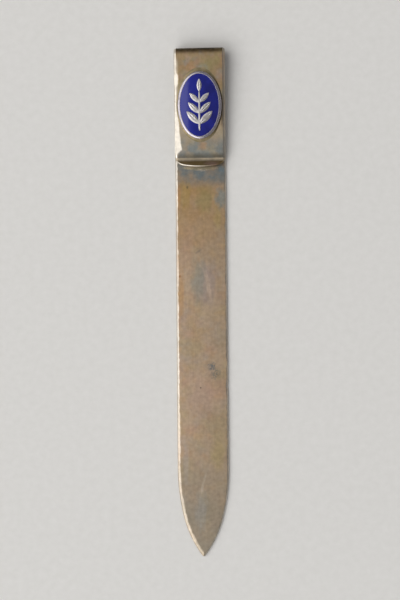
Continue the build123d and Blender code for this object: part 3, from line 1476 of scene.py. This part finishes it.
        # A half axis so long that height doesn't count
        far = 1.0
        values = {
            "Leaf": leaf,
            "Pairs": self.leaf_pairs,
            "First Leaf": (self.first_leaf - self.top) * MM,
            "Pitch": self.leaf_pitch * MM,
            "Leaf Angle": math.radians(self.leaf_angle),
            "Shrink": self.leaf_shrink,
            "Top Leaf": (self.top - self.top_leaf_length) * MM,
            "Top Scale": self.top_leaf_length / self.leaf_length,
            "Half Axes": (self.half_width * MM, self.half_height * MM, far),
            "Edge Height": self.edge_height * MM,
            "Swell": self.swell * MM,
            "Tilt": self.plane.to_euler().x,
            "Badge Place": self.plane.translation * MM,
            "Material": material,
        }
        modifier = stem.modifiers.new("sprig", "NODES")
        modifier.node_group = tree
        for socket in tree.interface.items_tree:
            if socket.name in values:
                modifier[socket.identifier] = values[socket.name]
        seen = stem.evaluated_get(bpy.context.evaluated_depsgraph_get())
        stem.data = bpy.data.meshes.new_from_object(seen)
        stem.modifiers.remove(modifier)
        bpy.data.objects.remove(leaf)
        return stem


@dataclass
class Badge:
    """Oval badge: a rimmed plate filled with enamel, a metal sprig in it, and the solder that holds it."""

    plane: Matrix
    width: float
    height: float
    rim_width: float = 0.8
    rim_height: float = 0.6
    rim_crest: float = 0.74
    rim_foot: float = 0.12
    rim_steps: int = 9
    plate_floor: float = 0.25
    enamel_edge: float = 0.56
    enamel_top: float = 0.84
    solder_side: float = 0.3
    solder_end: float = 0.95
    solder_rise: float = 0.12
    solder_sink: float = 0.08
    solder_overlap: float = 0.4
    solder_hollow: float = 1.8
    solder_ragged: float = 0.3
    solder_lumps: float = 2.0
    solder_layout: float = 4.5
    solder_steps: int = 8
    around: int = 192
    dome_rings: int = 48

    def __post_init__(self) -> None:
        """Works out the enamel's half axes and its swell."""
        self.enamel_half_width = self.width / 2 - self.rim_width
        self.enamel_half_height = self.height / 2 - self.rim_width
        self.enamel_swell = self.enamel_top - self.enamel_edge

    def oval(self, inset: float, z: float) -> Oval:
        """Oval at a distance inwards from the badge's outline and a height above the tongue."""
        wide, high = self.width / 2 - inset, self.height / 2 - inset
        return lambda angle: Vector((wide * math.cos(angle), high * math.sin(angle), z))

    def pole(self, z: float) -> Oval:
        """Middle of the badge at a height, as an oval of no size."""
        return lambda angle: Vector((0, 0, z))

    def skin(self, name: str, ovals: Sequence[Oval], material: bpy.types.Material) -> bpy.types.Object:
        """Makes a piece of the badge, in its place, from ovals that follow each other round its section.

        Args:
            name: Name of the piece.
            ovals: Ovals in order.
            material: Material of the piece.

        Returns:
            The new object.
        """
        shape = bmesh.new()
        angles = [2 * math.pi * i / self.around for i in range(self.around)]
        join_rings(shape, [[shape.verts.new(self.plane @ oval(angle)) for angle in angles] for oval in ovals])
        return finish_mesh(name, shape, material)

    def build_plate(self, material: bpy.types.Material) -> bpy.types.Object:
        """Makes the plate, with a rim that is steep outside and gently sloped to the enamel inside.

        Args:
            material: Material of the plate.

        Returns:
            The new object.
        """
        turns = [math.pi / 2 * i / self.rim_steps for i in range(1, self.rim_steps + 1)]
        rise, drop = self.rim_height - self.rim_foot, self.rim_height - self.enamel_edge
        inner = self.rim_width - self.rim_crest
        ovals = [self.pole(0.0), self.oval(0.0, 0.0), self.oval(0.0, self.rim_foot)]
        for turn in turns:
            z = self.rim_foot + rise * math.sin(turn)
            ovals.append(self.oval(self.rim_crest * (1 - math.cos(turn)), z))
        for turn in turns:
            z = self.rim_height - drop * (1 - math.cos(turn))
            ovals.append(self.oval(self.rim_crest + inner * math.sin(turn), z))
        ovals += [self.oval(self.rim_width, self.plate_floor), self.pole(self.plate_floor)]
        return self.skin("badge_plate_rim", ovals, material)

    def dome(self, share: float) -> Oval:
        """Oval on the enamel's surface.

        Args:
            share: Share of the way from its middle to its border.

        Returns:
            A function from an angle to a place on the oval.
        """
        wide, high = share * self.enamel_half_width, share * self.enamel_half_height
        z = self.enamel_edge + self.enamel_swell * (1 - share**2)
        return lambda angle: Vector((wide * math.cos(angle), high * math.sin(angle), z))

    def build_enamel(self, material: bpy.types.Material) -> bpy.types.Object:
        """Makes the enamel, which fills the plate and swells gently above the rim.

        Args:
            material: Material of the enamel.

        Returns:
            The new object.
        """
        ovals = [self.pole(self.plate_floor), self.oval(self.rim_width, self.plate_floor)]
        ovals += [self.dome(1 - i / self.dome_rings) for i in range(self.dome_rings + 1)]
        return self.skin("badge_enamel_field", ovals, material)

    def build_sprig(self, material: bpy.types.Material) -> bpy.types.Object:
        """Makes the metal sprig that stands through the enamel.

        Args:
            material: Material of the sprig.

        Returns:
            The new object.
        """
        half_axes = (self.enamel_half_width, self.enamel_half_height)
        return Sprig(self.plane, *half_axes, self.enamel_edge, self.enamel_swell).build(material)

    def solder_oval(self, share: float, z: float) -> Oval:
        """Oval that follows the solder's uneven border.

        Args:
            share: Share of the way from the plate to that border.
            z: Height above the tongue.

        Returns:
            A function from an angle to a place on the oval.
        """

        def place(angle: float) -> Vector:
            """Place on the oval at an angle."""
            across, up = math.cos(angle), math.sin(angle)
            lump = (self.solder_lumps * across, self.solder_lumps * up, self.solder_layout)
            spread = share * (1 + self.solder_ragged * noise.noise(Vector(lump)))
            wide = self.width / 2 + spread * self.solder_side
            high = self.height / 2 + spread * self.solder_end
            return Vector((wide * across, high * up, z))

        return place

    def build_solder(self, material: bpy.types.Material) -> bpy.types.Object:
        """Makes the hollow fillet of solder round the plate, with an uneven border.

        Args:
            material: Material of the solder.

        Returns:
            The new object.
        """
        foot = self.oval(self.solder_overlap, -self.solder_sink)
        ovals = [foot, self.oval(self.solder_overlap, self.solder_rise)]
        for i in range(self.solder_steps + 1):
            share = i / self.solder_steps
            ovals.append(self.solder_oval(share, self.solder_rise * (1 - share) ** self.solder_hollow))
        ovals += [self.solder_oval(1.0, -self.solder_sink), foot]
        return self.skin("badge_solder", ovals, material)


@dataclass(frozen=True)
class Softbox:
    """Soft oblong lamp, aimed at the middle of the opener.

    Args:
        name: Name of the lamp.
        bearing: Direction that it stands in, seen from above, from +X towards +Y.
        elevation: Height above the horizon.
        distance: Distance from the opener.
        width: Width of the lamp's face.
        height: Height of the lamp's face.
        power: Power of the lamp, in watts.
    """

    name: str
    bearing: float
    elevation: float
    distance: float
    width: float
    height: float
    power: float

    def build(self) -> None:
        """Makes the lamp."""
        bearing, elevation = math.radians(self.bearing), math.radians(self.elevation)
        flat = math.cos(elevation)
        away = Vector((math.cos(bearing) * flat, math.sin(bearing) * flat, math.sin(elevation)))
        data = bpy.data.lights.new(self.name, "AREA")
        data.shape = "RECTANGLE"
        data.size = self.width * MM
        data.size_y = self.height * MM
        data.energy = self.power
        lamp = bpy.data.objects.new(self.name, data)
        lamp.location = away * self.distance * MM
        lamp.rotation_euler = away.to_track_quat("Z", "Y").to_euler()
        bpy.context.scene.collection.objects.link(lamp)


@dataclass(frozen=True)
class Studio:
    """Pale floor, soft lamps and the camera, which looks almost straight down."""

    softboxes: tuple[Softbox, ...]
    surround: str = "#868688"
    backdrop: str = "#D4D3CF"
    backdrop_top: float = 8.0
    overhead: float = 16.0
    floor_radius: float = 700.0
    floor_corners: int = 96
    floor_drop: float = 0.03
    camera_place: tuple[float, float, float] = (17.0, 0.85, 320.0)
    camera_aim: tuple[float, float, float] = (-0.5, 0.85, 0.9)
    camera_roll: float = -0.51
    lens: float = 64.87

    def build(self) -> None:
        """Makes the floor, the lamps, the surround and the camera."""
        scene = bpy.context.scene
        scene.view_settings.view_transform = "Standard"
        self.build_floor()
        for softbox in self.softboxes:
            softbox.build()
        scene.world = self.build_world()
        scene.camera = self.build_camera()

    def build_camera(self) -> bpy.types.Object:
        """Makes the camera.

        Returns:
            The new camera.
        """
        data = bpy.data.cameras.new("camera")
        data.lens = self.lens
        data.clip_start = MM
        camera = bpy.data.objects.new("camera", data)
        place, aim = Vector(self.camera_place) * MM, Vector(self.camera_aim) * MM
        back = (place - aim).normalized()
        right = Vector((0, 1, 0)).cross(back).normalized()
        look = Matrix((right, back.cross(right), back)).transposed()
        roll = Matrix.Rotation(math.radians(self.camera_roll), 3, "Z")
        camera.matrix_world = Matrix.Translation(place) @ (look @ roll).to_4x4()
        bpy.context.scene.collection.objects.link(camera)
        return camera

    def build_world(self) -> bpy.types.World:
        """Makes the surround: grey overhead, and where it is seen as pale as the floor round the horizon.

        Returns:
            The new world.
        """
        world = bpy.data.worlds.new("studio")
        world.use_nodes = True
        tree = world.node_tree
        way = add_node(tree, "ShaderNodeTexCoord").outputs["Generated"]
        height = add_node(tree, "ShaderNodeSeparateXYZ", {"Vector": way}).outputs["Z"]
        grey, pale = (math.sin(math.radians(angle)) for angle in (self.overhead, self.backdrop_top))
        inputs = between(height, (grey, pale))
        share = add_node(tree, "ShaderNodeMapRange", inputs, interpolation_type="SMOOTHSTEP").outputs[0]
        ray = add_node(tree, "ShaderNodeLightPath").outputs
        seen = ray["Is Camera Ray"]
        for kind in ("Is Glossy Ray", "Is Transmission Ray"):
            seen = add_node(tree, "ShaderNodeMath", {0: seen, 1: ray[kind]}, operation="MAXIMUM").outputs[0]
        cover = add_node(tree, "ShaderNodeMath", {0: share, 1: seen}, operation="MULTIPLY").outputs[0]
        colour = lay_colours(tree, self.surround, [(self.backdrop, cover)])
        fill_inputs(tree, tree.nodes["Background"], {"Color": colour})
        return world

    def build_floor(self) -> None:
        """Makes the floor just under the opener."""
        shape = bmesh.new()
        radius = self.floor_radius * MM
        bmesh.ops.create_circle(shape, cap_ends=True, segments=self.floor_corners, radius=radius)
        data = bpy.data.meshes.new("floor")
        shape.to_mesh(data)
        shape.free()
        data.materials.append(PaperFinish("matt_paper").build())
        data.transform(Matrix.Translation((0, 0, -self.floor_drop * MM)))
        floor = bpy.data.objects.new("floor", data)
        bpy.context.scene.collection.objects.link(floor)


def box_mm(node: str) -> tuple[Vector, Vector]:
    """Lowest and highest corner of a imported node, in millimetres."""
    low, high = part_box(node)
    return low / MM, high / MM


def dress(piece: bpy.types.Object, node: str) -> None:
    """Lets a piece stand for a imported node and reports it.

    Args:
        piece: Piece of the scene.
        node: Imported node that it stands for.
    """
    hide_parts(node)
    LOG.info("%s stands for %s with %d faces", piece.name, node, len(piece.data.polygons))


def blade_finish(thickness: float) -> GiltFinish:
    """Gilding of the blade: warm under the clip's lip, paler along its length, greyer at the point, with
    painted shade towards its right border and under the lip and a painted highlight by the nick.

    Args:
        thickness: Thickness of the blade, which is also its front's height.

    Returns:
        The finish.
    """
    return GiltFinish(
        "gilt_blade",
        base="#BDA58C",
        rubbed="#CCC5B9",
        front_z=thickness,
        mottles=(
            Mottle("#BE9680", 8.0, 0.45, 1.0),
            Mottle("#B3A078", 6.0, 0.45, 2.0),
            Mottle("#A7A09A", 7.0, 0.35, 3.0),
            Mottle("#C09C74", 2.2, 0.35, 4.0),
        ),
        bands=(
            Band("#AA895F", 6.0, 30.0, 0.9, patch=7.0, breakup=0.5),
            Band("#968F80", -35.0, -68.0, 0.85, patch=9.0, breakup=0.3),
            # Painted shade: the blade darker towards its right border, none at the left
            Band("#94836A", 34.0, 12.0, 0.4, patch=9.0, breakup=0.3, left_share=0.0),
            Band("#6F7C80", 33.0, 37.6, 1.0, patch=3.2, breakup=0.6, left_share=0.8),
            # Partly a brown smear, partly painted shadow of the lip just under it
            Band("#6E5C44", 39.9, 40.8, 0.25, patch=3.0, breakup=0.4),
        ),
        marks=(
            Mark("#A89A78", 0.0, 39.9, 6.8, 0.9, 0.6, ragged=0.5),
            Mark("#C2B393", -3.6, 39.8, 2.2, 0.5, 0.6, turn=-12.0, ragged=0.6, speckled=0.6),
            Mark("#C8B9A4", 0.6, 39.3, 2.8, 0.55, 0.65, ragged=0.6, speckled=0.7),
            Mark("#BDAE98", 4.2, 39.8, 2.0, 0.5, 0.5, turn=10.0, ragged=0.6, speckled=0.6),
            Mark("#A98E4F", -4.6, 32.0, 2.6, 5.0, 0.5, ragged=0.6),
            Mark("#9C8E60", 1.2, 30.6, 3.8, 5.0, 0.6, ragged=0.6),
            Mark("#B98350", -6.4, 31.5, 0.8, 5.0, 0.35),
            Mark("#84908F", 6.2, 31.0, 2.8, 4.0, 0.7, ragged=0.6),
            Mark("#A89858", 5.0, 25.2, 1.8, 4.5, 0.3, ragged=0.6),
            Mark("#A2958F", 1.4, 6.0, 4.6, 8.5, 0.6, ragged=0.5),
            Mark("#BE9262", -6.0, 3.0, 1.3, 9.0, 0.5, ragged=0.5),
            Mark("#B69A8C", 0.0, -27.0, 6.0, 10.0, 0.4, ragged=0.6),
            Mark("#A9A19B", -5.0, -47.0, 1.2, 9.0, 0.35, ragged=0.4),
            Mark("#AD9A6E", 4.6, -44.0, 3.2, 7.0, 0.55, ragged=0.5),
            Mark("#9CA0A0", -0.6, -61.5, 2.6, 7.5, 0.3, ragged=0.7),
            Mark("#C9BEAC", -0.3, -54.6, 0.6, 2.4, 0.35, turn=-8.0, ragged=0.5),
            Mark("#C9BEAC", 0.5, -51.6, 0.5, 2.0, 0.3, turn=-10.0, ragged=0.5),
            # Painted highlight on a filed facet of the right border, by the nick
            Mark("#EBE2D2", 7.2, -24.0, 0.22, 1.9, 0.8, ragged=0.2),
            Mark("#5F5748", -0.5, -25.1, 0.28, 0.32, 0.9, ragged=0.15, dent=1.0),
            Mark("#667074", 2.9, -18.9, 1.7, 1.5, 0.9, turn=20.0, ragged=0.7, speckled=0.8),
            Mark("#73776F", 4.0, -21.0, 1.8, 2.0, 0.75, turn=-30.0, ragged=0.8, speckled=0.8),
            Mark("#9A6A42", -6.45, 7.9, 0.55, 0.55, 0.75, ragged=0.2, dent=0.8),
            Mark("#66624F", -3.95, 34.2, 0.45, 0.6, 0.6),
            Mark("#8F9486", -0.9, 6.8, 2.9, 9.0, 0.42, ragged=0.6),
            Mark("#CDB59E", 2.0, 4.9, 0.9, 6.0, 0.45, turn=12.5),
            Mark("#857A6E", -0.8, 15.2, 0.5, 1.4, 0.5, turn=-55.0),
        ),
    )


def clip_finish(front_z: float) -> GiltFinish:
    """Gilding of the clip: warm by the fold, grey with tarnish towards the dip, with painted shade on the
    fold's rounding and in the dip, a painted highlight along the valley, a lip that is partly brown tarnish
    and partly painted dark reflection, and a painted shadow right of the badge.

    Args:
        front_z: Height at which the marks on its front lie.

    Returns:
        The finish.
    """
    return GiltFinish(
        "gilt_clip",
        base="#A38C6A",
        rubbed="#D2CABD",
        front_z=front_z,
        mottles=(
            Mottle("#B58A66", 5.0, 0.5, 5.0),
            Mottle("#9C9467", 4.0, 0.5, 6.0),
            Mottle("#8F9694", 3.5, 0.45, 7.0),
            Mottle("#B69584", 3.0, 0.4, 8.0),
        ),
        bands=(
            # Painted shade and dark reflection on the fold's rounding
            Band("#35280F", 72.7, 74.4, 1.0, patch=2.6, breakup=0.35),
            Band("#B3A68F", 58.0, 50.0, 0.75, patch=4.0, breakup=0.5),
            Band("#7F8788", 50.5, 45.0, 0.85, patch=2.6, breakup=0.7),
            # Painted shade darkening the dip
            Band("#4C473C", 44.7, 43.0, 0.9, patch=4.0, breakup=0.3),
            # Painted highlight along the valley
            Band("#C6B59A", 42.85, 42.5, 0.9, patch=3.0, breakup=0.4),
            # The lip's face: partly brown tarnish, partly painted dark reflection
            Band("#7F6C47", 41.95, 41.6, 0.95, patch=4.0, breakup=0.15),
        ),
        marks=(
            Mark("#B08A66", 0.8, 46.2, 1.8, 1.6, 0.6, ragged=0.6),
            Mark("#B88A60", 0.5, 71.3, 4.5, 1.0, 0.5, ragged=0.6),
            Mark("#9A8070", 3.4, 41.2, 3.0, 1.4, 1.0, ragged=0.4),
            # Painted shadow of the badge's rim on the tongue, right of the badge
            Mark("#463D30", 6.7, 57.6, 0.95, 6.8, 0.9, ragged=0.3),
        ),
    )


def main() -> None:
    """Builds the opener's pieces, rides the blade and the badge's pieces on their bodies and sets up the
    studio.
    """
    logging.basicConfig(level=logging.INFO, format="%(message)s")
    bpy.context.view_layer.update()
    hinge = Vector(frame["joints"][0]["pos_m"]) / MM
    blade_low, blade_high = box_mm("blade")
    clip_low, clip_high = box_mm("spring_clip")
    plate_low, plate_high = box_mm("badge_plate")
    thickness = blade_high.z
    clip_width = clip_high.x - clip_low.x

    blade = Blade(blade_low.y, blade_high.y, blade_high.x - blade_low.x, clip_width, thickness)
    blade_piece = blade.build("blade_strip", blade_finish(thickness).build())
    dress(blade_piece, "blade")
    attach(blade_piece, Body.BLADE.value)

    clip = Clip(blade_high.y, hinge.y, hinge.z, clip_width, thickness, clip_low.y)
    # Height of the middle of the clip's front, where its marks lie
    clip_front = 3.0
    clip_piece = clip.build("clip_strip", clip_finish(clip_front).build())
    dress(clip_piece, "spring_clip")
    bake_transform(clip_piece)

    badge_height = (plate_high.y - plate_low.y) / math.cos(clip.slope)
    badge = Badge(clip.front_plane(clip.badge_y), plate_high.x - plate_low.x, badge_height)
    silver = SilverFinish("white_metal").build()
    rim_silver = SilverFinish("tarnished_white_metal", bright="#BAB3B9", tarnished="#7C757B").build()
    badge_pieces = (
        (badge.build_plate(rim_silver), "badge_plate", Slot.SILVER),
        (badge.build_enamel(EnamelFinish("cobalt_enamel").build()), "badge_enamel", Slot.ENAMEL),
        (badge.build_sprig(silver), "badge_emblem", Slot.SILVER),
        (badge.build_solder(SolderFinish("gilt_solder").build()), "solder_seam", Slot.SOLDER),
    )
    for piece, node, slot in badge_pieces:
        dress(piece, node)
        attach(piece, Body.CLIP.value)

    Studio(
        softboxes=(
            Softbox("key", 240.0, 33.0, 3600.0, 4000.0, 2400.0, 56.0),
            Softbox("left", 180.0, 50.0, 2700.0, 4500.0, 3120.0, 64.0),
        )
    ).build()


if __name__ == "__main__":
    main()
